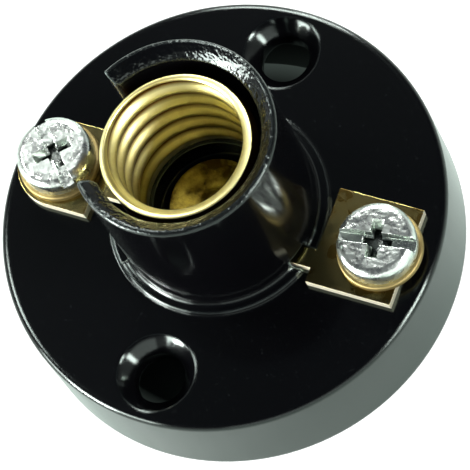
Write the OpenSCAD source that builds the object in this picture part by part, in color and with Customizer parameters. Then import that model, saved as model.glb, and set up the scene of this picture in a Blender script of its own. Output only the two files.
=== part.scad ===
// Miniature lamp holder for a 10 mm screw cap. A round moulded base carries a tower in one piece
// with it. A rolled brass thread shell stands in the tower on its terminal strip, a sprung centre
// contact lies under it, and each strip ends in a screw terminal.
// The origin is the middle of the underside, +Z goes up the tower, and +X points to the terminal
// of the centre contact.

/* [Base] */
// How far the base runs past each clamp washer
base_margin = 0.95; // [0.5:0.05:2.5]
// How much narrower the base is just under its top edge, on each side
base_draft = 0.2; // [0.05:0.05:0.5]
// Height of the face above the underside
base_h = 6.7; // [6.2:0.1:9]
// Thickness of the base under the face
face_t = 2.2; // [1.6:0.1:2.6]
// Thickness of the skirt
skirt_t = 1.8; // [1.2:0.1:2.1]
// Rounding of the base's top edge
base_edge_r = 0.45; // [0.2:0.05:0.8]
// Rounding in the hollow's inner corner
hollow_r = 0.6; // [0.2:0.1:1]

/* [Mounting holes] */
// Distance from a mounting hole's axis to the base's edge
mount_edge = 3.65; // [3.4:0.05:4.2]
// Diameter of a mounting hole
mount_hole_d = 3.5; // [2.8:0.1:4]
// Diameter of its countersink at the face
mount_sink_d = 5.4; // [4.6:0.1:6]
// Depth of its countersink
mount_sink_h = 1.1; // [0.6:0.1:1.4]

/* [Tower] */
// Height of the rim above the face
tower_h = 12.65; // [11:0.05:14]
// Thickness of the wall at the rim
tower_t = 1.15; // [0.9:0.05:1.5]
// How much wider the tower is at its foot, on each side
tower_draft = 0.15; // [0.05:0.05:0.5]
// Rounding of the rim's outer edge
rim_edge_r = 0.25; // [0.1:0.05:0.3]
// Width of the flat on top of the rim, between that rounding and the funnel
land_w = 0.05; // [0.05:0.05:0.4]
// Depth of the funnel that leads into the bore
funnel_h = 0.8; // [0.5:0.05:0.95]
// Width of the low ring around the foot
foot_ring_w = 0.7; // [0.5:0.05:1.2]
// Height of that ring above the face
foot_ring_h = 0.4; // [0.2:0.05:0.6]
// Fillet between that ring and the wall
foot_fillet_r = 0.3; // [0.1:0.05:0.45]
// Height above the face of the ledge that carries the shell
ledge_h = 1.7; // [1.5:0.05:2.2]
// Diameter of the recess inside the ledge
recess_d = 8.4; // [8:0.1:8.8]

/* [Openings in the tower] */
// Where the wide opening starts, in degrees from +X
wide_from = 154; // [150:1:156]
// Where the wide opening ends, in degrees from +X
wide_to = 224; // [212:1:232]
// Rounding of the wall's corners on both sides of the wide opening
wall_end_r = 0.5; // [0.2:0.05:0.5]
// Depth of the wide opening's sill below the top of the foot ring
sill_drop = 0.1; // [0.05:0.05:0.15]
// Gap on each side of the neck in the low window at the foot
window_gap = 0.15; // [0.1:0.05:0.4]
// Height of that window above the face
window_h = 1.25; // [1:0.05:1.4]
// How far the window's middle lies from the middle plane
window_offset = 1.8; // [0:0.1:2]

/* [Thread shell] */
// Rise of the thread in one turn
shell_pitch = 1.81; // [1.6:0.01:2]
// Inner diameter at the crests that the cap's thread runs on
shell_minor_d = 8.6; // [8.5:0.05:8.9]
// Inner diameter at the bottom of the thread's grooves
shell_major_d = 9.6; // [9.2:0.05:9.8]
// Thickness of the brass sheet
shell_t = 0.35; // [0.25:0.05:0.45]
// Depth of the shell's mouth below the rim
shell_drop = 1.05; // [0.8:0.05:1.4]
// Where the thread's groove starts at the shell's foot, in degrees from +X
shell_start = -92; // [-180:1:180]
// How far the shell's mouth flares out
flare_w = 0.2; // [0.05:0.05:0.25]
// Height of that flare
flare_h = 0.45; // [0.3:0.05:0.8]

/* [Strips] */
// Thickness of both terminal strips
strip_t = 0.7; // [0.5:0.05:0.8]
// Width of the shell's strip at the ring's seat
ring_w = 0.75; // [0.6:0.05:0.9]
// How far that ring runs out past the shell
seat_margin = 0.1; // [0.05:0.05:0.2]
// Width of the tongue that leaves through the wide opening
tongue_w = 4; // [3:0.1:4.2]
// Width of the shell strip's round-ended plate
round_plate_w = 6.3; // [6:0.1:7]
// Width of the centre contact's square plate
square_plate_w = 6.9; // [6.2:0.1:7.6]
// How far that plate reaches past its screw's axis
square_plate_reach = 1.85; // [1.8:0.05:2.6]
// How far past the foot ring the shell's strip comes down to the face
step_reach = 1.2; // [1.1:0.05:1.6]
// Length of the double bend where the shell's strip steps down
step_run = 1.8; // [1.6:0.05:2]
// Width of the neck that leaves through the low window
neck_w = 1.3; // [1:0.05:1.8]
// Length of the double bend where the neck rises to the contact
rise_run = 1.2; // [1.05:0.05:1.4]
// Inner radius of the bends in both strips
bend_r = 0.15; // [0.1:0.05:0.2]
// Diameter of the centre contact
contact_d = 6.2; // [5.6:0.1:6.8]
// Height of the contact's underside above the recess's floor
contact_lift = 0.75; // [0.4:0.05:0.9]
// Diameter of the raised dimple on the contact
dimple_d = 2.4; // [1.6:0.1:3]
// Height of that dimple
dimple_h = 0.25; // [0.1:0.05:0.3]

/* [Terminals] */
// Shank diameter of a terminal screw
screw_d = 2.9; // [2.7:0.05:3]
// Length of a screw under its head
screw_l = 6; // [5:0.25:6.5]
// Diameter of a screw head
head_d = 5.3; // [4.8:0.1:5.6]
// Height of a screw head
head_h = 1.7; // [1.5:0.05:2.2]
// Rounding of a screw head's top edge
head_edge_r = 0.6; // [0.2:0.05:0.8]
// Width of the driver slot
driver_w = 0.85; // [0.6:0.05:1]
// Depth of the driver slot
driver_h = 0.8; // [0.5:0.05:1]
// Length of the cross recess
cross_l = 2.9; // [2.4:0.1:3.2]
// Depth of the cross recess
cross_h = 1.15; // [1:0.05:1.25]
// How far the shell's screw is turned, in degrees
left_turn = -45; // [-90:5:90]
// How far the centre contact's screw is turned, in degrees
right_turn = 8; // [-90:1:90]
// Diameter of a clamp washer
washer_d = 5.8; // [5.6:0.1:6.4]
// Thickness of a clamp washer
washer_t = 0.5; // [0.4:0.05:0.8]
// Size of a nut across its flats
nut_af = 5.5; // [5:0.1:5.6]
// Height of a nut
nut_h = 2.4; // [2:0.1:2.6]
// Bevel of a nut's corners
nut_bevel = 0.25; // [0.1:0.05:0.3]
// Depth of the pocket that holds a nut
pocket_h = 1.9; // [1.4:0.1:2]
// Wall of that pocket
pocket_wall = 0.9; // [0.7:0.05:1.1]

/* [Clearances] */
// Gap on each side of a screw in its nut
thread_gap = 0.05; // [0.02:0.01:0.08]
// Gap on each side of a screw in its washer
washer_gap = 0.1; // [0.08:0.01:0.2]
// Gap on each side of a screw in the strips and the face
screw_gap = 0.2; // [0.15:0.05:0.3]
// Gap on each side of a nut in its pocket
nut_gap = 0.05; // [0.03:0.01:0.1]
// Gap between the shell and the tower's bore
bore_gap = 0.5; // [0.35:0.05:0.6]
// Gap between the square plate and the foot ring
plate_gap = 0.1; // [0.05:0.05:0.3]
// Gap between a washer and the bend of the shell's strip
washer_room = 0.15; // [0.05:0.05:0.5]
// Gap between the foot of the neck's bend and the recess's wall
rise_gap = 0.1; // [0.05:0.05:0.3]

/* [Hidden] */

// Smoothness of turned and drilled forms, and of small roundings
round_fn = 96;
arc_steps = 5;
// How far a cut runs past the face it opens
past = 1;
// How far a rounding's cut dips through the wall that it blends into
bite = 0.06;
// How deep the tower's profile sinks into the base, so that the two are one moulding
root_depth = 0.5;

// Levels
under_z = base_h - face_t;
ring_top_z = base_h + foot_ring_h;
sill_z = ring_top_z - sill_drop;
ledge_z = base_h + ledge_h;
rim_z = base_h + tower_h;
plate_top_z = base_h + strip_t;
washer_top_z = plate_top_z + washer_t;
contact_z = base_h + contact_lift;
shell_z0 = ledge_z + strip_t;
shell_z1 = rim_z - shell_drop;
pocket_z = under_z - pocket_h;

// Radii, from the shell outwards
shell_outer_r = shell_major_d / 2 + shell_t;
bore_r = shell_outer_r + bore_gap;
rim_r = bore_r + tower_t;
foot_r = rim_r + tower_draft;
ring_r = foot_r + foot_ring_w;
plate_inner_x = ring_r + plate_gap;
step_x = ring_r + step_reach;
terminal_x = step_x + washer_room + washer_d / 2;
base_r = terminal_x + washer_d / 2 + base_margin;
face_r = base_r - base_draft;
hollow_out_r = base_r - skirt_t;
mount_y = base_r - mount_edge;

// Bores and the nut's pocket
screw_hole_d = screw_d + 2 * screw_gap;
nut_bore_d = screw_d + 2 * thread_gap;
washer_bore_d = screw_d + 2 * washer_gap;
pocket_af = nut_af + 2 * nut_gap;

// The neck starts to rise where its far edge clears the recess's wall
rise_x = sqrt(pow(recess_d / 2, 2) - pow(window_offset + neck_w / 2, 2)) - rise_gap;

// Thread shell's mesh: levels in one turn, and steps around it
levels_per_turn = 6;
flare_rows = 3;
shell_steps = 48;

// Points of a quarter circle of radius r about (x, y), from angle a0 to angle a1
function arc(x, y, r, a0, a1) =
    [for (i = [0:arc_steps]) let (a = a0 + (a1 - a0) * i / arc_steps) [x + r * cos(a), y + r * sin(a)]];

// Corner radius of a hexagon of a given size across its flats
function hex_r(across) = across / 2 / cos(30);

// Disc with a hollow underside, turned about the middle
module base_body() {
    rotate_extrude($fn = round_fn)
        polygon(concat(
            [[0, under_z]],
            arc(hollow_out_r - hollow_r, under_z - hollow_r, hollow_r, 90, 0),
            [[hollow_out_r, 0], [base_r, 0]],
            arc(face_r - base_edge_r, base_h - base_edge_r, base_edge_r, 0, 90),
            [[0, base_h]]
        ));
}

// Tower wall, foot ring and ledge, turned about the middle
module tower_wall() {
    ring_edge_r = foot_ring_h / 2;
    rotate_extrude($fn = round_fn)
        polygon(concat(
            [[recess_d / 2, base_h - root_depth], [ring_r, base_h - root_depth]],
            arc(ring_r - ring_edge_r, ring_top_z - ring_edge_r, ring_edge_r, 0, 90),
            arc(foot_r + foot_fillet_r, ring_top_z + foot_fillet_r, foot_fillet_r, 270, 180),
            arc(rim_r - rim_edge_r, rim_z - rim_edge_r, rim_edge_r, 0, 90),
            [[rim_r - rim_edge_r - land_w, rim_z], [bore_r, rim_z - funnel_h]],
            [[bore_r, ledge_z], [recess_d / 2, ledge_z]]
        ));
}

// Wedge of the wall that the wide opening takes out
module wide_opening() {
    reach = ring_r + past;
    mid = (wide_from + wide_to) / 2;
    difference() {
        translate([0, 0, sill_z])
            linear_extrude(tower_h + past)
                polygon([
                    [0, 0],
                    2 * reach * [cos(wide_from), sin(wide_from)],
                    3 * reach * [cos(mid), sin(mid)],
                    2 * reach * [cos(wide_to), sin(wide_to)]
                ]);
        cylinder(r = bore_r, h = rim_z + 2 * past, $fn = round_fn);
    }
    rotate(wide_from) mirror([0, 1, 0]) wall_corners();
    rotate(wide_to) wall_corners();
}

// What rounds off the outer corner and, above the strip, the inner corner of a wall that ends on
// the X axis and runs to +Y
module wall_corners() {
    e = wall_end_r;
    inner_x = bore_r - bite + e;
    translate([0, 0, sill_z])
        linear_extrude(tower_h + past)
            polygon(concat(
                [[foot_r - e, -past]],
                arc(foot_r - e, e, e, -90, 0),
                [[foot_r + past, e], [foot_r + past, -past]]
            ));
    translate([0, 0, shell_z0])
        linear_extrude(tower_h + past)
            polygon(concat(
                [[inner_x, -past]],
                arc(inner_x, e, e, -90, -180),
                [[inner_x - e - past, e], [inner_x - e - past, -past]]
            ));
}

// Low window from the recess out through the ledge, the wall and the foot ring
module neck_window() {
    inner_x = rise_x - rise_run;
    width = neck_w + 2 * window_gap;
    translate([inner_x, -window_offset - width / 2, base_h])
        cube([ring_r + past - inner_x, width, window_h]);
}

// Hexagonal pocket wall under one terminal, kept inside the skirt
module nut_boss(side) {
    intersection() {
        translate([side * terminal_x, 0, pocket_z])
            cylinder(r = hex_r(pocket_af) + pocket_wall, h = pocket_h + face_t / 2, $fn = round_fn);
        cylinder(r = hollow_out_r + skirt_t / 2, h = base_h, $fn = round_fn);
    }
}

module base_moulding() {
    color("#17181a")
    difference() {
        union() {
            base_body();
            tower_wall();
            for (side = [-1, 1]) nut_boss(side);
        }
        wide_opening();
        neck_window();
        for (side = [-1, 1]) {
            translate([0, side * mount_y, 0]) {
                cylinder(d = mount_hole_d, h = base_h + past, $fn = round_fn);
                translate([0, 0, base_h - mount_sink_h])
                    cylinder(d1 = mount_hole_d, d2 = mount_sink_d, h = mount_sink_h, $fn = round_fn);
                translate([0, 0, base_h])
                    cylinder(d = mount_sink_d, h = past, $fn = round_fn);
            }
            translate([side * terminal_x, 0, 0]) {
                cylinder(d = screw_hole_d, h = base_h + past, $fn = round_fn);
                rotate(30) cylinder(r = hex_r(pocket_af), h = under_z, $fn = 6);
            }
        }
    }
}

// The rolled thread: a sheet whose radius swings between the minor and the major diameter once
// for each pitch, with the swing turning once around the shell, so that its crests are a helix.
// Its mouth flares out along a curve.
function shell_r(z, a) =
    (shell_minor_d + shell_major_d) / 4
    + (shell_major_d - shell_minor_d) / 4 * cos(360 * z / shell_pitch + shell_start - a)
    + flare_w * pow(max(0, z - shell_z1 + shell_z0 + flare_h) / flare_h, 2);

module thread_shell() {
    height = shell_z1 - shell_z0;
    straight = height - flare_h;
    straight_rows = round(straight / shell_pitch * levels_per_turn);
    levels = concat(
        [for (row = [0:straight_rows]) straight * row / straight_rows],
        [for (row = [1:flare_rows]) straight + flare_h * row / flare_rows]
    );
    rows = len(levels) - 1;
    skins = [shell_t, 0];
    points = [
        for (skin = skins) for (z = levels) for (i = [0:shell_steps - 1])
            let (
                a = 360 * i / shell_steps,
                r = shell_r(z, a) + skin
            )
            [r * cos(a), r * sin(a), shell_z0 + z]
    ];
    // Number of the point at a row and a step of the outer skin (0) or the inner skin (1)
    function at(skin, row, i) = (skin * (rows + 1) + row) * shell_steps + i % shell_steps;
    outer = [for (row = [0:rows - 1]) for (i = [0:shell_steps - 1]) each [
        [at(0, row, i), at(0, row + 1, i), at(0, row + 1, i + 1)],
        [at(0, row, i), at(0, row + 1, i + 1), at(0, row, i + 1)]
    ]];
    inner = [for (row = [0:rows - 1]) for (i = [0:shell_steps - 1]) each [
        [at(1, row, i), at(1, row + 1, i + 1), at(1, row + 1, i)],
        [at(1, row, i), at(1, row, i + 1), at(1, row + 1, i + 1)]
    ]];
    edges = [for (i = [0:shell_steps - 1]) each [
        [at(0, 0, i), at(0, 0, i + 1), at(1, 0, i + 1), at(1, 0, i)],
        [at(0, rows, i + 1), at(0, rows, i), at(1, rows, i), at(1, rows, i + 1)]
    ]];
    color("#d8b652") polyhedron(points = points, faces = concat(outer, inner, edges));
}

// Hole in a strip for one terminal's screw
module strip_hole(side) {
    translate([side * terminal_x, 0, base_h - past])
        cylinder(d = screw_hole_d, h = strip_t + 2 * past, $fn = round_fn);
}

// Side view of a strip, as points of x and z, stretched to a width across the middle plane
module side_view(width) {
    translate([0, width / 2, 0]) rotate([90, 0, 0]) linear_extrude(width) children();
}

// Outline of a strip of thickness t that runs level from `start` to (x0, z0), comes level again at
// (x1, z1), which is lower and further out, and runs on to `end`. Two equal bends with a straight
// slope between them join the levels, and all the points given are on its underside.
function double_bend(start, x0, z0, x1, z1, end, t) =
    let (
        mid_r = bend_r + t / 2,
        across = x1 - x0,
        down = z0 - z1 - 2 * mid_r,
        tilt = atan2(down, across) + asin(2 * mid_r / norm([across, down]))
    )
    concat(
        [[start, z0]],
        arc(x0, z0 - bend_r, bend_r, 90, 90 - tilt),
        arc(x1, z1 + t + bend_r, bend_r + t, 270 - tilt, 270),
        [[end, z1], [end, z1 + t]],
        arc(x1, z1 + t + bend_r, bend_r, 270, 270 - tilt),
        arc(x0, z0 - bend_r, bend_r + t, 90 - tilt, 90),
        [[start, z0 + t]]
    );

// Seat ring under the shell, the tongue that steps down to the face, and the round-ended plate
module shell_strip() {
    ring_outer_r = shell_outer_r + seat_margin;
    color("#c2a24a")
    difference() {
        union() {
            difference() {
                translate([0, 0, ledge_z]) cylinder(r = ring_outer_r, h = strip_t, $fn = round_fn);
                translate([0, 0, ledge_z - past])
                    cylinder(r = ring_outer_r - ring_w, h = strip_t + 2 * past, $fn = round_fn);
            }
            mirror([1, 0, 0])
                side_view(tongue_w)
                    polygon(double_bend(shell_outer_r - ring_w / 3,
                        step_x - step_run, ledge_z, step_x, base_h, terminal_x, strip_t));
            translate([-terminal_x, 0, base_h]) {
                cylinder(d = round_plate_w, h = strip_t, $fn = round_fn);
                translate([0, -round_plate_w / 2, 0])
                    cube([terminal_x - step_x, round_plate_w, strip_t]);
            }
        }
        strip_hole(-1);
    }
}

// Sprung disc with its dimple, turned about the middle
module contact_disc() {
    steps = 8;
    function lift(i) = dimple_h * (1 + cos(180 * i / steps)) / 2;
    under = [for (i = [0:steps]) [dimple_d / 2 * i / steps, contact_z + lift(i)]];
    over = [for (i = [steps:-1:0]) [dimple_d / 2 * i / steps, contact_z + strip_t + lift(i)]];
    rotate_extrude($fn = round_fn)
        polygon(concat(under, [[contact_d / 2, contact_z], [contact_d / 2, contact_z + strip_t]], over));
}

// Square plate at the screw, the neck in the window, its rise in the recess, and the sprung disc
module centre_contact() {
    color("#b89a48")
    difference() {
        union() {
            translate([plate_inner_x, -square_plate_w / 2, base_h])
                cube([terminal_x + square_plate_reach - plate_inner_x, square_plate_w, strip_t]);
            translate([0, -window_offset, 0])
                side_view(neck_w)
                    polygon(double_bend(contact_d / 4,
                        rise_x - rise_run, contact_z, rise_x, base_h, plate_inner_x + past, strip_t));
            contact_disc();
        }
        strip_hole(1);
    }
}

// Hexagonal nut with bevelled corners, its flats towards the rim
module terminal_nut(side) {
    corner_r = hex_r(nut_af);
    translate([side * terminal_x, 0, under_z - nut_h])
        difference() {
            intersection() {
                rotate(30) cylinder(r = corner_r, h = nut_h, $fn = 6);
                rotate_extrude($fn = round_fn)
                    polygon([
                        [0, 0], [corner_r - nut_bevel, 0], [corner_r, nut_bevel],
                        [corner_r, nut_h - nut_bevel], [corner_r - nut_bevel, nut_h], [0, nut_h]
                    ]);
            }
            translate([0, 0, -past]) cylinder(d = nut_bore_d, h = nut_h + 2 * past, $fn = round_fn);
        }
}

module left_terminal_nut() { color("#b9bcc0") terminal_nut(-1); }
module right_terminal_nut() { color("#b9bcc0") terminal_nut(1); }

// Plain round washer that clamps the wire
module clamp_washer(side) {
    translate([side * terminal_x, 0, plate_top_z])
        difference() {
            cylinder(d = washer_d, h = washer_t, $fn = round_fn);
            translate([0, 0, -past]) cylinder(d = washer_bore_d, h = washer_t + 2 * past, $fn = round_fn);
        }
}

module left_clamp_washer() { color("#cdae57") clamp_washer(-1); }
module right_clamp_washer() { color("#cdae57") clamp_washer(1); }

// Cheese-head screw with a driver slot and a cross recess
module terminal_screw(side, turn) {
    head_r = head_d / 2;
    shank_r = screw_d / 2;
    tip_bevel = screw_d / 8;
    translate([side * terminal_x, 0, washer_top_z])
        rotate(turn)
            difference() {
                rotate_extrude($fn = round_fn)
                    polygon(concat(
                        [[0, -screw_l], [shank_r - tip_bevel, -screw_l], [shank_r, -screw_l + tip_bevel]],
                        [[shank_r, 0], [head_r, 0]],
                        arc(head_r - head_edge_r, head_h - head_edge_r, head_edge_r, 0, 90),
                        [[0, head_h]]
                    ));
                translate([-head_d, -driver_w / 2, head_h - driver_h])
                    cube([2 * head_d, driver_w, driver_h + past]);
                for (quarter = [0, 90])
                    rotate(quarter)
                        translate([-cross_l / 2, -driver_w / 2, head_h - cross_h])
                            cube([cross_l, driver_w, cross_h + past]);
            }
}

module left_terminal_screw() { color("#c9ccd0") terminal_screw(-1, left_turn); }
module right_terminal_screw() { color("#c9ccd0") terminal_screw(1, right_turn); }

base_moulding();
thread_shell();
shell_strip();
centre_contact();
left_terminal_nut();
right_terminal_nut();
left_clamp_washer();
right_clamp_washer();
left_terminal_screw();
right_terminal_screw();
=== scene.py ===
"""Looks of a miniature lamp holder for a 10 mm screw cap.

A black moulded base and tower, a rolled brass thread shell, two stamped brass strips, and a
zinc-plated screw, a brass washer and a nut at each terminal. Sizes are in millimetres in the
classes, and the meshes are in metres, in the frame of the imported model.
"""
import logging
import math
from dataclasses import dataclass, field
from enum import Enum
from typing import Callable, Iterable, Sequence

import bmesh
import bpy
from mathutils import Matrix, Vector


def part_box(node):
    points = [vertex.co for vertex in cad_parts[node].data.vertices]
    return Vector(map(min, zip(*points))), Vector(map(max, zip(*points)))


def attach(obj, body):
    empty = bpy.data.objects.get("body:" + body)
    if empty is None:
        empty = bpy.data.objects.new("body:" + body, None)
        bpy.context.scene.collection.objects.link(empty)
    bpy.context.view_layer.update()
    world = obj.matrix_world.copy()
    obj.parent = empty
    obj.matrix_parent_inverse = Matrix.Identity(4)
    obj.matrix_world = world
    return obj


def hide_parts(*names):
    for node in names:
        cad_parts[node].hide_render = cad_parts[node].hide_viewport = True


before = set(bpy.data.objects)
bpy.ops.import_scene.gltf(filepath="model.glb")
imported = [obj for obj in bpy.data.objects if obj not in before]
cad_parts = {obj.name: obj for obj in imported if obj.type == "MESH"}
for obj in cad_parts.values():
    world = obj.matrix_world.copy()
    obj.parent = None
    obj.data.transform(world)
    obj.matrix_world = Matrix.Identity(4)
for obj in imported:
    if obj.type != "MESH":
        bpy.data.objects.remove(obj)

MM = 0.001
LOG = logging.getLogger("lamp_holder")

Point = tuple[float, float, float]
Profile = Sequence[tuple[float, float]]


class Terminal(Enum):
    """The two screw terminals, by the side of the tower that they stand on."""

    LEFT = "left"
    RIGHT = "right"

    @property
    def clamp_body(self) -> str:
        """Body that the washer rides on."""
        return f"{self.value}_clamp"

    @property
    def screw_body(self) -> str:
        """Body that the screw rides on."""
        return f"{self.value}_screw"


class Slot(Enum):
    """Material slots of the record."""

    MOULDING = "black_moulding"
    SHELL = "shell_brass"
    STRIP = "strip_brass"
    WASHER = "washer_brass"
    PLATED = "plated_steel"


HOLDER_BODY = "holder"


def linear(hex_colour: str) -> tuple[float, float, float, float]:
    """Turns an sRGB hex value into a linear colour.

    Args:
        hex_colour: six hex digits, with or without a leading hash.

    Returns:
        Linear red, green, blue and an alpha of 1.
    """
    digits = hex_colour.lstrip("#")
    parts = [int(digits[i:i + 2], 16) / 255 for i in (0, 2, 4)]
    red, green, blue = (c / 12.92 if c <= 0.04045 else ((c + 0.055) / 1.055) ** 2.4 for c in parts)
    return red, green, blue, 1.0


def add_node(tree: bpy.types.NodeTree, kind: str, values: dict | None = None,
             links: dict | None = None, **settings: object) -> bpy.types.Node:
    """Adds one shader node.

    Args:
        tree: the node tree that gets it.
        kind: Blender's name for the node type.
        values: input name or number to a constant.
        links: input name or number to the output socket that feeds it.
        settings: attributes of the node itself.

    Returns:
        The new node.
    """
    node = tree.nodes.new(kind)
    for name, value in settings.items():
        setattr(node, name, value)
    for name, value in (values or {}).items():
        node.inputs[name].default_value = value
    for name, socket in (links or {}).items():
        tree.links.new(socket, node.inputs[name])
    return node


def per_metre(size_mm: float) -> float:
    """Noise scale that gives features of about this size in millimetres."""
    return 1 / (size_mm * MM)


def new_material(name: str) -> tuple[bpy.types.Material, bpy.types.NodeTree]:
    """Makes an empty node material.

    Args:
        name: the material's name.

    Returns:
        The material and its cleared node tree.
    """
    material = bpy.data.materials.new(name)
    material.use_nodes = True
    material.node_tree.nodes.clear()
    return material, material.node_tree


def upward(tree: bpy.types.NodeTree, low: float, high: float) -> bpy.types.NodeSocket:
    """Share of a surface that faces up or down: 0 on a wall, 1 on a level face.

    Args:
        tree: the node tree that gets the nodes.
        low: height of the normal at which the share leaves 0.
        high: height of the normal at which the share reaches 1.

    Returns:
        The output socket with the share.
    """
    normal = add_node(tree, "ShaderNodeNewGeometry").outputs["True Normal"]
    height = add_node(tree, "ShaderNodeSeparateXYZ", links={0: normal}).outputs["Z"]
    size = add_node(tree, "ShaderNodeMath", links={0: height}, operation="ABSOLUTE").outputs[0]
    return add_node(tree, "ShaderNodeMapRange", {1: low, 2: high}, {0: size}).outputs[0]


@dataclass(frozen=True)
class PhenolicMoulding:
    """Phenolic resin, compression moulded in a polished tool.

    The eye sees a deep black with sharp reflections, fine dark grey flecks of filler and edges
    rubbed pale. The funnel inside the rim, where the tool closes, is dull and pitted.
    """

    base: str = "#030304"
    fleck: str = "#202324"
    ior: float = 1.5
    roughness: float = 0.13
    rim_roughness: float = 0.14
    fleck_mm: float = 0.3
    grain_mm: float = 0.25
    pit_mm: float = 0.7
    pit_depth_mm: float = 0.1
    edge_mm: float = 0.3
    wear: str = "#56625f"
    wear_roughness: float = 0.35
    wear_mm: float = 0.22

    def build(self, rim_z: float) -> bpy.types.Material:
        """Builds the material.

        Args:
            rim_z: height of the tower's rim in metres, just under which the finish is dull.

        Returns:
            The finished material.
        """
        material, tree = new_material("phenolic_moulding")
        place = add_node(tree, "ShaderNodeTexCoord").outputs["Object"]
        height = add_node(tree, "ShaderNodeSeparateXYZ", links={0: place}).outputs["Z"]
        high = add_node(tree, "ShaderNodeMapRange", {1: rim_z - 1.1 * MM, 2: rim_z - 0.9 * MM},
                        {0: height}).outputs[0]
        rim = add_node(tree, "ShaderNodeMath", links={0: high, 1: upward(tree, 0.2, 0.5)},
                       operation="MULTIPLY").outputs[0]
        flecks = add_node(tree, "ShaderNodeTexNoise",
                          {"Scale": per_metre(self.fleck_mm), "Detail": 4.0, "Roughness": 0.7},
                          {"Vector": place}).outputs["Fac"]
        fleck_mask = add_node(tree, "ShaderNodeMapRange", {1: 0.63, 2: 0.78, 4: 0.5},
                              {0: flecks}).outputs[0]
        plain = add_node(tree, "ShaderNodeMix", {6: linear(self.base), 7: linear(self.fleck)},
                         {0: fleck_mask}, data_type="RGBA").outputs[2]
        depth = add_node(tree, "ShaderNodeAmbientOcclusion", {"Distance": self.wear_mm * MM},
                         samples=8, inside=True, only_local=True).outputs["AO"]
        worn = add_node(tree, "ShaderNodeMapRange", {1: 0.8, 2: 0.45}, {0: depth}).outputs[0]
        colour = add_node(tree, "ShaderNodeMix", {7: linear(self.wear)}, {0: worn, 6: plain},
                          data_type="RGBA").outputs[2]
        smooth = add_node(tree, "ShaderNodeMapRange", {3: self.roughness, 4: self.rim_roughness},
                          {0: rim}).outputs[0]
        roughness = add_node(tree, "ShaderNodeMix", {3: self.wear_roughness}, {0: worn, 2: smooth},
                             data_type="FLOAT").outputs[0]
        grain = add_node(tree, "ShaderNodeTexNoise",
                         {"Scale": per_metre(self.grain_mm), "Detail": 4.0, "Roughness": 0.6},
                         {"Vector": place}).outputs["Fac"]
        pits = add_node(tree, "ShaderNodeTexNoise",
                        {"Scale": per_metre(self.pit_mm), "Detail": 2.0, "Roughness": 0.6},
                        {"Vector": place}).outputs["Fac"]
        rounded = add_node(tree, "ShaderNodeBevel", {"Radius": self.edge_mm * MM}, samples=6)
        fine = add_node(tree, "ShaderNodeBump", {"Strength": 0.03, "Distance": 0.05 * MM},
                        {"Height": grain, "Normal": rounded.outputs["Normal"]})
        pitted = add_node(tree, "ShaderNodeBump", {"Distance": self.pit_depth_mm * MM},
                          {"Strength": rim, "Height": pits, "Normal": fine.outputs["Normal"]})
        shader = add_node(tree, "ShaderNodeBsdfPrincipled",
                          {"IOR": self.ior, "Specular Tint": linear("#e4f5ed")},
                          {"Base Color": colour, "Roughness": roughness,
                           "Normal": pitted.outputs["Normal"]})
        add_node(tree, "ShaderNodeOutputMaterial", links={"Surface": shader.outputs[0]})
        return material


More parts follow.
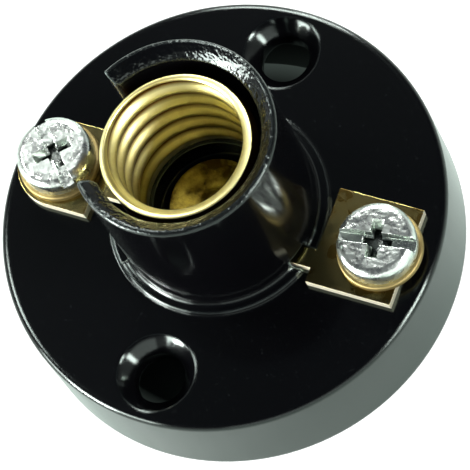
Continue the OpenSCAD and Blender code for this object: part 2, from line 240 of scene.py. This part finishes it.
@dataclass(frozen=True)
class SheetBrass:
    """Yellow brass sheet, rolled, drawn or stamped.

    The eye sees a yellow metal with fine marks along the direction that it was worked in, soft
    patches of brown tarnish, and pale, dull edges where it was sheared.
    """

    name: str
    base: str = "#e3c261"
    tarnish: str = "#9a7a35"
    tarnish_from: float = 0.45
    tarnish_to: float = 0.8
    patch_mm: float = 2.2
    line_mm: float = 0.12
    stretch: tuple[float, float, float] = (0.06, 0.06, 1.0)
    roughness: float = 0.2
    roughness_worn: float = 0.36
    line_depth_mm: float = 0.004
    edge_mm: float = 0.06
    sheared: str = "#fffae2"
    sheared_roughness: float = 0.5
    sheared_from: float = 0.3
    # Painted shade for the hollows of a thread: a dark brown, the radii over which it comes in, and the
    # height below which it applies; off by default.
    groove_shade: str = "#5c3e14"
    groove_shade_from_mm: float = 1000.0
    groove_shade_to_mm: float = 1001.0
    groove_shade_below_mm: float = 0.0

    def build(self) -> bpy.types.Material:
        """Builds the material.

        Returns:
            The finished material.
        """
        material, tree = new_material(self.name)
        place = add_node(tree, "ShaderNodeTexCoord").outputs["Object"]
        patches = add_node(tree, "ShaderNodeTexNoise",
                           {"Scale": per_metre(self.patch_mm), "Detail": 5.0, "Roughness": 0.6},
                           {"Vector": place}).outputs["Fac"]
        worn = add_node(tree, "ShaderNodeMapRange", {1: self.tarnish_from, 2: self.tarnish_to},
                        {0: patches}).outputs[0]
        flat = add_node(tree, "ShaderNodeMix", {6: linear(self.base), 7: linear(self.tarnish)},
                        {0: worn}, data_type="RGBA").outputs[2]
        level = upward(tree, self.sheared_from, self.sheared_from + 0.3)
        faced = add_node(tree, "ShaderNodeMix", {6: linear(self.sheared)}, {0: level, 7: flat},
                         data_type="RGBA").outputs[2]
        across = add_node(tree, "ShaderNodeVectorMath", {1: (1.0, 1.0, 0.0)}, {0: place},
                          operation="MULTIPLY").outputs[0]
        radius = add_node(tree, "ShaderNodeVectorMath", links={0: across}, operation="LENGTH")
        # Painted shade: darkens the hollows of a thread, on both sides of the sheet, below the mouth.
        deep = add_node(tree, "ShaderNodeMapRange",
                        {1: self.groove_shade_from_mm * MM, 2: self.groove_shade_to_mm * MM},
                        {0: radius.outputs["Value"]}).outputs[0]
        height = add_node(tree, "ShaderNodeSeparateXYZ", links={0: place}).outputs["Z"]
        below = add_node(tree, "ShaderNodeMath", {1: self.groove_shade_below_mm * MM}, {0: height},
                         operation="LESS_THAN").outputs[0]
        groove_shaded = add_node(tree, "ShaderNodeMath", links={0: deep, 1: below},
                           operation="MULTIPLY").outputs[0]
        colour = add_node(tree, "ShaderNodeMix", {7: linear(self.groove_shade)}, {0: groove_shaded, 6: faced},
                          data_type="RGBA").outputs[2]
        along = add_node(tree, "ShaderNodeMapping", {"Scale": self.stretch}, {"Vector": place})
        lines = add_node(tree, "ShaderNodeTexNoise",
                         {"Scale": per_metre(self.line_mm), "Detail": 3.0, "Roughness": 0.6},
                         {"Vector": along.outputs[0]}).outputs["Fac"]
        smooth = add_node(tree, "ShaderNodeMapRange", {3: self.roughness, 4: self.roughness_worn},
                          {0: worn}).outputs[0]
        roughness = add_node(tree, "ShaderNodeMix", {2: self.sheared_roughness}, {0: level, 3: smooth},
                             data_type="FLOAT").outputs[0]
        rounded = add_node(tree, "ShaderNodeBevel", {"Radius": self.edge_mm * MM}, samples=6)
        bump = add_node(tree, "ShaderNodeBump", {"Strength": 0.5, "Distance": self.line_depth_mm * MM},
                        {"Height": lines, "Normal": rounded.outputs["Normal"]})
        shader = add_node(tree, "ShaderNodeBsdfPrincipled", {"Metallic": 1.0},
                          {"Base Color": colour, "Roughness": roughness,
                           "Normal": bump.outputs["Normal"]})
        add_node(tree, "ShaderNodeOutputMaterial", links={"Surface": shader.outputs[0]})
        return material


@dataclass(frozen=True)
class ZincPlate:
    """Steel, cold headed and zinc plated.

    The eye sees a bright, slightly blue-green metal with small soft dents and cloudy patches
    where the plating is duller. The enclosed floor of the recess is darkened with painted shade.
    """

    base: str = "#e6eee6"
    cloud: str = "#a7b1aa"
    roughness: float = 0.24
    roughness_cloud: float = 0.42
    cloud_mm: float = 0.9
    dent_mm: float = 0.8
    dent_depth_mm: float = 0.16
    edge_mm: float = 0.06
    # Painted shade in the recess: its colour, how far the occlusion looks, and the depths below the head's
    # top over which it comes in.
    recess_shade: str = "#161c17"
    recess_shade_reach_mm: float = 1.0
    recess_shade_from_mm: float = 0.82
    recess_shade_to_mm: float = 1.0

    def build(self, head_top: float) -> bpy.types.Material:
        """Builds the material.

        Args:
            head_top: height of the screw heads in metres, from which the depth of the painted shade counts.

        Returns:
            The finished material.
        """
        material, tree = new_material("zinc_plated_steel")
        place = add_node(tree, "ShaderNodeTexCoord").outputs["Object"]
        clouds = add_node(tree, "ShaderNodeTexNoise",
                          {"Scale": per_metre(self.cloud_mm), "Detail": 4.0, "Roughness": 0.6},
                          {"Vector": place}).outputs["Fac"]
        cloudy = add_node(tree, "ShaderNodeMapRange", {1: 0.42, 2: 0.72}, {0: clouds}).outputs[0]
        clean = add_node(tree, "ShaderNodeMix", {6: linear(self.base), 7: linear(self.cloud)},
                         {0: cloudy}, data_type="RGBA").outputs[2]
        # Painted shade: darkens the occluded floor of the slot and cross recess, and occluded parts lower
        # down, by ambient occlusion.
        open_share = add_node(tree, "ShaderNodeAmbientOcclusion",
                              {"Distance": self.recess_shade_reach_mm * MM}, samples=8,
                              only_local=True).outputs["AO"]
        height = add_node(tree, "ShaderNodeSeparateXYZ", links={0: place}).outputs["Z"]
        deep = add_node(tree, "ShaderNodeMapRange",
                        {1: head_top - self.recess_shade_from_mm * MM, 2: head_top - self.recess_shade_to_mm * MM},
                        {0: height}).outputs[0]
        closed = add_node(tree, "ShaderNodeMapRange", {1: 0.85, 2: 0.6}, {0: open_share}).outputs[0]
        painted_shade = add_node(tree, "ShaderNodeMath", links={0: deep, 1: closed},
                         operation="MULTIPLY").outputs[0]
        colour = add_node(tree, "ShaderNodeMix", {7: linear(self.recess_shade)}, {0: painted_shade, 6: clean},
                          data_type="RGBA").outputs[2]
        roughness = add_node(tree, "ShaderNodeMapRange", {3: self.roughness, 4: self.roughness_cloud},
                             {0: cloudy}).outputs[0]
        dents = add_node(tree, "ShaderNodeTexNoise",
                         {"Scale": per_metre(self.dent_mm), "Detail": 2.0}, {"Vector": place})
        rounded = add_node(tree, "ShaderNodeBevel", {"Radius": self.edge_mm * MM}, samples=6)
        bump = add_node(tree, "ShaderNodeBump", {"Strength": 0.6, "Distance": self.dent_depth_mm * MM},
                        {"Height": dents.outputs["Fac"], "Normal": rounded.outputs["Normal"]})
        shader = add_node(tree, "ShaderNodeBsdfPrincipled", {"Metallic": 1.0},
                          {"Base Color": colour, "Roughness": roughness,
                           "Normal": bump.outputs["Normal"]})
        add_node(tree, "ShaderNodeOutputMaterial", links={"Surface": shader.outputs[0]})
        return material


def mesh_object(name: str, points: Iterable[Point], faces: Iterable[Sequence[int]]) -> bpy.types.Object:
    """Makes a mesh object from points in metres.

    Args:
        name: the object's name.
        points: the vertices.
        faces: the corners of each face, counter-clockwise from outside.

    Returns:
        The linked object.
    """
    mesh = bpy.data.meshes.new(name)
    mesh.from_pydata(list(points), [], list(faces))
    mesh.validate()
    obj = bpy.data.objects.new(name, mesh)
    bpy.context.scene.collection.objects.link(obj)
    return obj


def shade(obj: bpy.types.Object, crease_degrees: float = 32.0) -> None:
    """Shades an object smooth, with sharp edges above an angle and large faces kept flat."""
    obj.data.shade_smooth()
    obj.data.set_sharp_from_angle(angle=math.radians(crease_degrees))
    step = obj.modifiers.new("even_shading", "WEIGHTED_NORMAL")
    step.keep_sharp = True
    apply_modifiers(obj)


def apply_modifiers(obj: bpy.types.Object) -> None:
    """Bakes an object's modifiers into its mesh."""
    depsgraph = bpy.context.evaluated_depsgraph_get()
    solved = bpy.data.meshes.new_from_object(obj.evaluated_get(depsgraph))
    solved.name = obj.name
    obj.modifiers.clear()
    obj.data = solved


def combine(obj: bpy.types.Object, tool: bpy.types.Object, operation: str) -> None:
    """Joins, cuts or intersects an object with a tool, and removes the tool.

    Args:
        obj: the object that stays.
        tool: the object that is used up.
        operation: UNION, DIFFERENCE or INTERSECT.
    """
    step = obj.modifiers.new("combine", "BOOLEAN")
    step.object = tool
    step.operation = operation
    step.solver = "EXACT"
    apply_modifiers(obj)
    bpy.data.objects.remove(tool)


def soften(obj: bpy.types.Object, radius_mm: float, segments: int = 3, above_degrees: float = 35.0) -> None:
    """Rounds an object's sharp edges.

    Args:
        obj: the object.
        radius_mm: width of the rounding.
        segments: faces across the rounding.
        above_degrees: edges flatter than this are left alone.
    """
    step = obj.modifiers.new("soften", "BEVEL")
    step.width = radius_mm * MM
    step.segments = segments
    step.limit_method = "ANGLE"
    step.angle_limit = math.radians(above_degrees)
    step.harden_normals = False
    apply_modifiers(obj)


def turned(name: str, profile: Profile, steps: int = 96, centre: Vector | None = None) -> bpy.types.Object:
    """Turns a closed profile of radius and height, in millimetres, about the vertical axis.

    Args:
        name: the object's name.
        profile: corners of the section, counter-clockwise, with radii above zero.
        steps: faces around.
        centre: where the axis stands, in metres.

    Returns:
        The ring-shaped object.
    """
    base = centre or Vector((0, 0, 0))
    count = len(profile)
    points = [
        (base.x + r * MM * math.cos(math.tau * i / steps),
         base.y + r * MM * math.sin(math.tau * i / steps), base.z + z * MM)
        for i in range(steps) for r, z in profile
    ]
    faces = [
        (i * count + j, (i + 1) % steps * count + j,
         (i + 1) % steps * count + (j + 1) % count, i * count + (j + 1) % count)
        for i in range(steps) for j in range(count)
    ]
    return mesh_object(name, points, faces)


def capped_rings(name: str, rings: Sequence[Sequence[Point]]) -> bpy.types.Object:
    """Skins a stack of rings with the same number of points, and closes both ends.

    Args:
        name: the object's name.
        rings: the rings in metres, from bottom to top, each counter-clockwise from above.

    Returns:
        The closed object.
    """
    around = len(rings[0])
    points = [p for ring in rings for p in ring]
    faces: list[tuple[int, ...]] = [
        (k * around + i, k * around + (i + 1) % around,
         (k + 1) * around + (i + 1) % around, (k + 1) * around + i)
        for k in range(len(rings) - 1) for i in range(around)
    ]
    last = (len(rings) - 1) * around
    faces.append(tuple(reversed(range(around))))
    faces.append(tuple(range(last, last + around)))
    return mesh_object(name, points, faces)


def box_tool(name: str, size_mm: Point, middle: Vector, turn_degrees: float,
             foot_share: float = 1.0) -> bpy.types.Object:
    """Makes a cutting block that may narrow towards its foot.

    Args:
        name: the object's name.
        size_mm: length, width and height.
        middle: middle of its top face, in metres.
        turn_degrees: turn about the vertical axis.
        foot_share: how long and wide the foot is, as a share of the top.

    Returns:
        The block.
    """
    length, width, height = (s * MM for s in size_mm)
    turn = Matrix.Rotation(math.radians(turn_degrees), 4, "Z")
    rings = []
    for share, drop in ((foot_share, height), (1.0, 0.0)):
        corners = ((-1, -1), (1, -1), (1, 1), (-1, 1))
        rings.append([
            tuple(middle + turn @ Vector((x * length / 2 * share, y * width / 2 * share, -drop)))
            for x, y in corners
        ])
    return capped_rings(name, rings)


def arc_points(x: float, z: float, radius: float, start: float, end: float,
               steps: int = 6) -> list[tuple[float, float]]:
    """Points of an arc about (x, z), from one angle in degrees to another."""
    angles = [math.radians(start + (end - start) * i / steps) for i in range(steps + 1)]
    return [(x + radius * math.cos(a), z + radius * math.sin(a)) for a in angles]


def copy_of_node(name: str, node: str) -> bpy.types.Object:
    """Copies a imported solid's mesh into a new object with flat faces joined up.

    Args:
        name: the new object's name.
        node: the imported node.

    Returns:
        The copy, with one face for each flat side.
    """
    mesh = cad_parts[node].data.copy()
    mesh.name = name
    mesh.materials.clear()
    work = bmesh.new()
    work.from_mesh(mesh)
    bmesh.ops.remove_doubles(work, verts=work.verts, dist=0.0005 * MM)
    bmesh.ops.dissolve_limit(work, angle_limit=math.radians(0.4), verts=work.verts, edges=work.edges)
    work.to_mesh(mesh)
    work.free()
    obj = bpy.data.objects.new(name, mesh)
    bpy.context.scene.collection.objects.link(obj)
    return obj


def dress(obj: bpy.types.Object, material: bpy.types.Material, body: str,
          replaces: str | None = None) -> None:
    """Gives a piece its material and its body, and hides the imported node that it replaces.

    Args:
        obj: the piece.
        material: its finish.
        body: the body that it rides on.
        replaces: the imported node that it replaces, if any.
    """
    obj.data.materials.clear()
    obj.data.materials.append(material)
    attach(obj, body)
    if replaces:
        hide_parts(replaces)
    LOG.info("%s: %d faces", obj.name, len(obj.data.polygons))


@dataclass
class MouldedBase:
    """The base and its tower, one black moulding."""

    node: str = "base_moulding"
    edge_mm: float = 0.1
    finish: PhenolicMoulding = field(default_factory=PhenolicMoulding)

    def make(self) -> None:
        """Rounds the moulding's sharp edges and dresses it."""
        rim_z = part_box(self.node)[1].z
        obj = copy_of_node("moulded_base", self.node)
        soften(obj, self.edge_mm, segments=2)
        shade(obj)
        dress(obj, self.finish.build(rim_z), HOLDER_BODY, self.node)


@dataclass
class ThreadShell:
    """The rolled brass thread that the lamp's cap screws into."""

    node: str = "thread_shell"
    pitch: float = 1.81
    minor_d: float = 8.6
    major_d: float = 9.6
    sheet: float = 0.35
    start: float = -92.0
    flare_w: float = 0.2
    flare_h: float = 0.45
    around: int = 160
    rows_per_turn: int = 22
    lip_steps: int = 4
    # Its brass carries painted shade, a dark brown, in the hollows of the thread below the mouth.
    finish: SheetBrass = field(default_factory=lambda: SheetBrass(
        "rolled_brass", base="#efe7a2", tarnish="#b5a05c", tarnish_from=0.5, tarnish_to=0.85,
        roughness=0.38, roughness_worn=0.5, line_depth_mm=0.012, sheared_from=-1.0,
        groove_shade_from_mm=4.55, groove_shade_to_mm=4.76, groove_shade_below_mm=17.6))

    def inner_radius(self, height: float, angle: float, full: float) -> float:
        """Finds the inner radius of the sheet.

        Args:
            height: height above the foot in millimetres.
            angle: angle from +X in radians.
            full: the shell's whole height in millimetres.

        Returns:
            The radius in millimetres, with the flare at the mouth.
        """
        middle = (self.minor_d + self.major_d) / 4
        swing = (self.major_d - self.minor_d) / 4
        phase = math.tau * height / self.pitch + math.radians(self.start) - angle
        flare = self.flare_w * (max(0.0, height - full + self.flare_h) / self.flare_h) ** 2
        return middle + swing * math.cos(phase) + flare

    def make(self) -> None:
        """Builds the helical sheet with rounded lips at both ends."""
        low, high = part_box(self.node)
        foot, height = low.z / MM, (high.z - low.z) / MM
        rows = round(height / self.pitch * self.rows_per_turn)
        lip = self.sheet / 2
        section: list[tuple[float, float]] = []
        for row in range(rows + 1):
            section.append((lip + (height - 2 * lip) * row / rows, 1.0))
        for step in range(1, self.lip_steps):
            turn = math.pi * step / self.lip_steps
            section.append((height - lip + lip * math.sin(turn), (1 + math.cos(turn)) / 2))
        for row in range(rows, -1, -1):
            section.append((lip + (height - 2 * lip) * row / rows, 0.0))
        for step in range(1, self.lip_steps):
            turn = math.pi * step / self.lip_steps
            section.append((lip - lip * math.sin(turn), (1 - math.cos(turn)) / 2))
        points = []
        for i in range(self.around):
            angle = math.tau * i / self.around
            for up, share in section:
                radius = self.inner_radius(up, angle, height) + self.sheet * share
                points.append((radius * MM * math.cos(angle), radius * MM * math.sin(angle),
                               (foot + up) * MM))
        count = len(section)
        faces = [
            (i * count + j, (i + 1) % self.around * count + j,
             (i + 1) % self.around * count + (j + 1) % count, i * count + (j + 1) % count)
            for i in range(self.around) for j in range(count)
        ]
        obj = mesh_object("rolled_thread_shell", points, faces)
        shade(obj, 60)
        dress(obj, self.finish.build(), HOLDER_BODY, self.node)


@dataclass
class BrassStrips:
    """The shell's strip and the centre contact, two stampings that end in terminal plates."""

    edge_mm: float = 0.07
    finish: SheetBrass = field(default_factory=lambda: SheetBrass(
        "stamped_brass", base="#c4b878", tarnish="#564822", tarnish_from=0.36, tarnish_to=0.6,
        patch_mm=1.6, line_mm=0.1, stretch=(0.08, 1.0, 1.0), roughness=0.15, roughness_worn=0.28,
        line_depth_mm=0.006))

    def make(self) -> None:
        """Rounds the edges of both stampings and dresses them."""
        brass = self.finish.build()
        for name, node in (("shell_terminal_strip", "shell_strip"),
                           ("sprung_centre_contact", "centre_contact")):
            obj = copy_of_node(name, node)
            soften(obj, self.edge_mm, segments=2)
            shade(obj)
            dress(obj, brass, HOLDER_BODY, node)


@dataclass
class TerminalHardware:
    """Screw, washer and nut of one terminal."""

    side: Terminal
    turn_degrees: float
    pitch: float = 0.5
    thread_depth: float = 0.28
    thread_d: float = 2.9
    around: int = 72
    rows_per_turn: int = 10
    edge_r: float = 0.6
    slot_w: float = 0.85
    slot_h: float = 0.8
    cross_l: float = 2.9
    cross_h: float = 1.1
    steel: bpy.types.Material | None = None
    brass: bpy.types.Material | None = None

    def node(self, piece: str) -> str:
        """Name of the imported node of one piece."""
        return f"{self.side.value}_{piece}"

    def axis(self) -> Vector:
        """Foot of the terminal's axis, in metres."""
        low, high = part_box(self.node("terminal_screw"))
        return Vector(((low.x + high.x) / 2, (low.y + high.y) / 2, 0))

    def threaded_rod(self, name: str, bottom: float, top: float, extra: float) -> bpy.types.Object:
        """Builds a rod with a vee thread whose phase depends only on height and angle.

        Args:
            name: the object's name.
            bottom: height of its foot in millimetres.
            top: height of its head end in millimetres.
            extra: how much larger its radius is than the screw's, in millimetres.

        Returns:
            The closed rod.
        """
        axis = self.axis()
        rows = max(2, round((top - bottom) / self.pitch * self.rows_per_turn))
        crest = self.thread_d / 2 + extra
        rings = []
        for row in range(rows + 1):
            z = bottom + (top - bottom) * row / rows
            taper = min(1.0, 0.55 + (z - bottom) / self.pitch) if extra == 0 else 1.0
            ring = []
            for i in range(self.around):
                angle = math.tau * i / self.around
                phase = (z / self.pitch - angle / math.tau) % 1.0
                vee = abs(2 * phase - 1)
                radius = crest - self.thread_depth * min(1.0, max(0.0, 1.25 * vee - 0.12))
                radius = min(radius, crest * taper + 0.25 * (1 - taper))
                ring.append((axis.x + radius * MM * math.cos(angle),
                             axis.y + radius * MM * math.sin(angle), z * MM))
            rings.append(ring)
        return capped_rings(name, rings)

    def make_screw(self) -> None:
        """Builds the head with its slot and cross recess, and the threaded shank."""
        node = self.node("terminal_screw")
        low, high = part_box(node)
        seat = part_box(self.node("clamp_washer"))[1].z
        axis = self.axis()
        radius = (high.x - low.x) / 2 / MM
        top = (high.z - seat) / MM
        profile = [(radius - 0.12, 0.0), (radius, 0.12)]
        profile += arc_points(radius - self.edge_r, top - self.edge_r, self.edge_r, 0, 90, 8)
        rings = [
            [(axis.x + r * MM * math.cos(math.tau * i / 120),
              axis.y + r * MM * math.sin(math.tau * i / 120), seat + z * MM) for i in range(120)]
            for r, z in profile
        ]
        head = capped_rings(f"{self.side.value}_plated_screw", rings)
        above = Vector((axis.x, axis.y, high.z + 0.2 * MM))
        combine(head, box_tool("slot", (4 * radius, self.slot_w, self.slot_h + 0.2), above,
                               self.turn_degrees), "DIFFERENCE")
        for quarter in (0, 90):
            combine(head, box_tool("wing", (self.cross_l, self.slot_w, self.cross_h + 0.2), above,
                                   self.turn_degrees + quarter, 0.62), "DIFFERENCE")
        soften(head, 0.06, segments=2, above_degrees=38)
        shank = self.threaded_rod("shank", low.z / MM, seat / MM + 0.3, 0.0)
        combine(head, shank, "UNION")
        shade(head, 34)
        dress(head, self.steel, self.side.screw_body, node)

    def make_washer(self) -> None:
        """Builds the stamped washer, rounded on the side that the punch entered."""
        node = self.node("clamp_washer")
        low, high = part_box(node)
        outer, thick = (high.x - low.x) / 2 / MM, (high.z - low.z) / MM
        inner = self.thread_d / 2 + 0.1
        profile = [(inner, 0.0), (outer - 0.05, 0.0), (outer, 0.05)]
        profile += arc_points(outer - 0.16, thick - 0.16, 0.16, 0, 90, 4)
        profile += [(inner + 0.08, thick), (inner, thick - 0.08)]
        centre = self.axis() + Vector((0, 0, low.z))
        obj = turned(f"{self.side.value}_brass_washer", profile, 96, centre)
        shade(obj)
        dress(obj, self.brass, self.side.clamp_body, node)

    def make_nut(self) -> None:
        """Builds the bevelled nut with its thread."""
        node = self.node("terminal_nut")
        low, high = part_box(node)
        obj = copy_of_node(f"{self.side.value}_plated_nut", node)
        tap = self.threaded_rod("tap", low.z / MM - 0.3, high.z / MM + 0.3, 0.06)
        combine(obj, tap, "DIFFERENCE")
        shade(obj, 34)
        dress(obj, self.steel, HOLDER_BODY, node)

    def make(self) -> None:
        """Builds all three pieces."""
        self.make_washer()
        self.make_screw()
        self.make_nut()


@dataclass
class SoftBox:
    """One soft lamp, placed around the object."""

    name: str
    azimuth: float
    elevation: float
    distance_mm: float
    width_mm: float
    height_mm: float
    radiance: float

    def make(self, target: Vector) -> None:
        """Hangs the lamp and aims it.

        Args:
            target: the point that it faces, in metres.
        """
        lamp = bpy.data.lights.new(self.name, "AREA")
        lamp.shape = "RECTANGLE"
        lamp.size = self.width_mm * MM
        lamp.size_y = self.height_mm * MM
        lamp.energy = self.radiance * math.pi * lamp.size * lamp.size_y
        obj = bpy.data.objects.new(self.name, lamp)
        bpy.context.scene.collection.objects.link(obj)
        azimuth, elevation = math.radians(self.azimuth), math.radians(self.elevation)
        away = Vector((math.cos(elevation) * math.cos(azimuth),
                       math.cos(elevation) * math.sin(azimuth), math.sin(elevation)))
        obj.location = target + away * self.distance_mm * MM
        obj.rotation_euler = away.to_track_quat("Z", "Y").to_euler()
        LOG.info("lamp %s: %.3f W", self.name, lamp.energy)


@dataclass
class Studio:
    """Camera at the photograph's angle, white floor, pale surroundings and soft lamps."""

    aim_mm: Point = (1.696, -1.454, 6.7)
    distance_mm: float = 174.83
    azimuth: float = 51.69
    elevation: float = 64.38
    roll: float = -33.27
    lens_mm: float = 199.15
    sensor_mm: float = 36.0
    floor_mm: float = 3000.0
    floor_colour: str = "#f4f4f2"
    floor_share: float = 0.7
    floor_glow: float = 1.0
    floor_glow_seen: float = 1.25
    shade_r_mm: float = 15.6
    # Painted shade: the darker grey-green colour given to the paper under the base.
    shade_colour: str = "#7d8a80"
    floor_tint: str = "#e0fbee"
    # Painted light: a faint glow of the paper under the base, rising towards the skirt, that stands in for
    # light leaking in.
    painted_leak_from_mm: float = 12.2
    painted_leak_share: float = 0.12
    lamps: tuple[SoftBox, ...] = (
        SoftBox("right", -10, 16, 320, 60, 50, 30.0),
        SoftBox("front_left", -126, 14, 320, 250, 90, 24.0),
        SoftBox("front_left_core", -127, 6, 300, 90, 45, 120.0),
        SoftBox("front", -40, 12, 320, 520, 120, 1.5),
        SoftBox("back", 105, 25, 320, 60, 50, 50.0),
        SoftBox("high_right", 5, 33, 420, 110, 90, 64.0),
        SoftBox("high_left", 180, 50, 420, 90, 90, 34.0),
        SoftBox("high_back", 120, 42, 420, 90, 90, 42.0),
    )

    def make_camera(self) -> None:
        """Makes the camera that the picture is taken with."""
        data = bpy.data.cameras.new("camera")
        data.sensor_fit = "HORIZONTAL"
        data.sensor_width = self.sensor_mm
        data.lens = self.lens_mm
        data.clip_start = 0.01
        data.clip_end = 20
        camera = bpy.data.objects.new("camera", data)
        bpy.context.scene.collection.objects.link(camera)
        azimuth, elevation = math.radians(self.azimuth), math.radians(self.elevation)
        back = Vector((math.sin(azimuth) * math.cos(elevation),
                       -math.cos(azimuth) * math.cos(elevation), math.sin(elevation)))
        camera.location = Vector(self.aim_mm) * MM + back * self.distance_mm * MM
        level = back.to_track_quat("Z", "Y").to_matrix().to_4x4()
        turn = Matrix.Rotation(math.radians(self.roll), 4, "Z")
        camera.rotation_euler = (level @ turn).to_euler()
        bpy.context.scene.camera = camera

    def make_floor(self) -> None:
        """Lays the white floor: plain white to the camera, faintly green in reflections.

        Under the base the paper takes a darker colour as painted shade, with a painted glow near the
        skirt that stands in for light leaking in, and it is clear from below.
        """
        half = self.floor_mm / 2 * MM
        floor = mesh_object("floor", [(-half, -half, 0), (half, -half, 0), (half, half, 0),
                                      (-half, half, 0)], [(0, 1, 2, 3)])
        floor.location.z = -0.02 * MM
        material, tree = new_material("white_floor")
        path = add_node(tree, "ShaderNodeLightPath")
        seen = path.outputs["Is Camera Ray"]
        for way in ("Is Glossy Ray", "Is Transmission Ray"):
            seen = add_node(tree, "ShaderNodeMath", links={0: seen, 1: path.outputs[way]},
                            operation="ADD", use_clamp=True).outputs[0]
        place = add_node(tree, "ShaderNodeTexCoord").outputs["Object"]
        away = add_node(tree, "ShaderNodeVectorMath", links={0: place}, operation="LENGTH")
        outside = add_node(tree, "ShaderNodeMath", {1: self.shade_r_mm * MM},
                           {0: away.outputs["Value"]}, operation="GREATER_THAN")
        # Painted light: glow share of the paper under the base, rising from nothing to the skirt.
        painted_leak = add_node(tree, "ShaderNodeMapRange",
                        {1: self.painted_leak_from_mm * MM, 2: self.shade_r_mm * MM, 4: self.painted_leak_share},
                        {0: away.outputs["Value"]})
        open_to = add_node(tree, "ShaderNodeMath",
                           links={0: outside.outputs[0], 1: painted_leak.outputs[0]}, operation="MAXIMUM")
        shown = add_node(tree, "ShaderNodeMath", links={0: seen, 1: open_to.outputs[0]},
                         operation="MULTIPLY")
        share = add_node(tree, "ShaderNodeMath", {1: self.floor_share}, {0: shown.outputs[0]},
                         operation="MULTIPLY")
        strength = add_node(tree, "ShaderNodeMapRange",
                            {3: self.floor_glow, 4: self.floor_glow_seen},
                            {0: path.outputs["Is Camera Ray"]})
        # Painted shade: under the base the paper takes the darker shade colour instead of white.
        colour = add_node(tree, "ShaderNodeMix",
                          {6: linear(self.shade_colour), 7: linear(self.floor_colour)},
                          {0: outside.outputs[0]}, data_type="RGBA").outputs[2]
        paper = add_node(tree, "ShaderNodeBsdfDiffuse", links={"Color": colour})
        plain = add_node(tree, "ShaderNodeMath",
                         links={0: path.outputs["Is Camera Ray"], 1: outside.outputs[0]},
                         operation="MULTIPLY")
        tint = add_node(tree, "ShaderNodeMix", {6: linear(self.floor_tint), 7: (1, 1, 1, 1)},
                        {0: plain.outputs[0]}, data_type="RGBA").outputs[2]
        glow = add_node(tree, "ShaderNodeEmission",
                        links={"Color": tint, "Strength": strength.outputs[0]})
        front = add_node(tree, "ShaderNodeMixShader", links={0: share.outputs[0], 1: paper.outputs[0],
                                                             2: glow.outputs[0]})
        behind = add_node(tree, "ShaderNodeNewGeometry").outputs["Backfacing"]
        clear = add_node(tree, "ShaderNodeBsdfTransparent")
        mix = add_node(tree, "ShaderNodeMixShader", links={0: behind, 1: front.outputs[0],
                                                           2: clear.outputs[0]})
        add_node(tree, "ShaderNodeOutputMaterial", links={"Surface": mix.outputs[0]})
        floor.data.materials.append(material)

    def make_world(self) -> None:
        """Surrounds the object with walls that are pale at the floor and darker overhead."""
        world = bpy.data.worlds.new("studio")
        bpy.context.scene.world = world
        world.use_nodes = True
        tree = world.node_tree
        tree.nodes.clear()
        place = add_node(tree, "ShaderNodeTexCoord").outputs["Generated"]
        up = add_node(tree, "ShaderNodeSeparateXYZ", links={0: place}).outputs["Z"]
        ramp = add_node(tree, "ShaderNodeValToRGB", links={0: up})
        ramp.color_ramp.elements[0].position = 0.0
        ramp.color_ramp.elements[0].color = (0.8, 0.8, 0.8, 1)
        ramp.color_ramp.elements[1].position = 0.45
        ramp.color_ramp.elements[1].color = (0.045, 0.05, 0.06, 1)
        walls = add_node(tree, "ShaderNodeBackground", {"Strength": 1.0}, {"Color": ramp.outputs[0]})
        white = add_node(tree, "ShaderNodeBackground", {"Strength": 1.0, "Color": (1, 1, 1, 1)})
        path = add_node(tree, "ShaderNodeLightPath")
        mix = add_node(tree, "ShaderNodeMixShader", links={0: path.outputs["Is Camera Ray"],
                                                           1: walls.outputs[0], 2: white.outputs[0]})
        add_node(tree, "ShaderNodeOutputWorld", links={"Surface": mix.outputs[0]})

    def make(self) -> None:
        """Sets up the camera, floor, surroundings and lamps."""
        self.make_camera()
        self.make_floor()
        self.make_world()
        for lamp in self.lamps:
            lamp.make(Vector((0, 0, 0.01)))
        bpy.context.scene.view_settings.view_transform = "Standard"


def corners(bounds: Sequence[Sequence[float]]) -> list[list[float]]:
    """Turns a pair of corners into plain lists."""
    return [list(corner) for corner in bounds]


def main() -> None:
    """Builds the whole scene."""
    logging.basicConfig(level=logging.INFO, format="%(name)s %(message)s")
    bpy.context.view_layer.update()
    Studio().make()
    MouldedBase().make()
    ThreadShell().make()
    BrassStrips().make()
    steel = ZincPlate().build(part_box("right_terminal_screw")[1].z)
    washer_brass = SheetBrass("washer_brass", base="#a39362", tarnish="#4c3f22", sheared="#948557",
                              stretch=(1.0, 1.0, 1.0), roughness=0.5, roughness_worn=0.6).build()
    for side, turn in ((Terminal.LEFT, -45), (Terminal.RIGHT, 8)):
        TerminalHardware(side, turn, steel=steel, brass=washer_brass).make()


if __name__ == "__main__":
    main()
